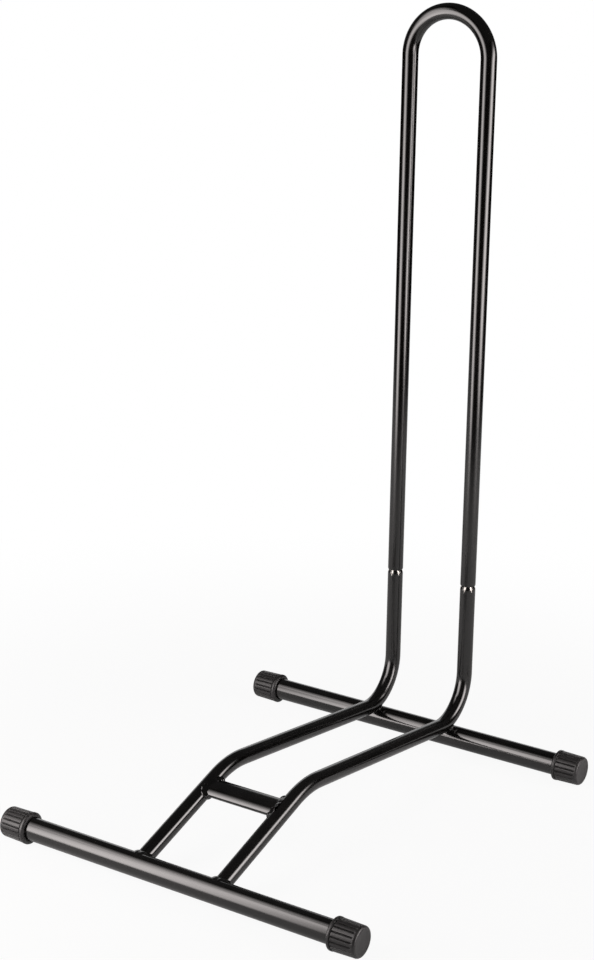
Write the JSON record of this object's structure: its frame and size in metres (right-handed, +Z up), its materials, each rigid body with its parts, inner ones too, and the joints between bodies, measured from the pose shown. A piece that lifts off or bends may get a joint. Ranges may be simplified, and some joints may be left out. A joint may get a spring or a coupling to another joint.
{
  "type": "bicycle floor rack",
  "caption": "Free-standing tubular floor rack that holds a bicycle wheel between bent side tubes and a tall lift-off hoop, on two capped cross tubes.",
  "frame": {"origin": "on the floor, in the middle of the rack's outline", "axes": "+X to the right along the cross tubes, -Y to the side where the wheel rolls in, +Y to the hoop, +Z up"},
  "size_m": [0.398, 0.4694, 0.765],
  "materials": {
    "black_powder_coat": "gloss black powder coat on steel tube",
    "weld_coat": "gloss black powder coat over a rippled weld bead",
    "black_cap_rubber": "satin black moulded rubber"
  },
  "bodies": {
    "base": {"front_cross_tube": "black_powder_coat", "rear_cross_tube": "black_powder_coat", "left_side_tube": "black_powder_coat", "right_side_tube": "black_powder_coat", "wheel_rung": "black_powder_coat", "front_left_weld": "weld_coat", "front_right_weld": "weld_coat", "rung_left_weld": "weld_coat", "rung_right_weld": "weld_coat", "rear_left_weld": "weld_coat", "rear_right_weld": "weld_coat", "front_left_cap": "black_cap_rubber", "front_right_cap": "black_cap_rubber", "rear_left_cap": "black_cap_rubber", "rear_right_cap": "black_cap_rubber"},
    "hoop": {"upper_hoop": "black_powder_coat"}
  },
  "joints": [
    {"name": "hoop_lift", "type": "slide", "parent": "base", "child": "hoop", "axis": [0, 0, 1], "range_m": [0, 0.05]}
  ]
}
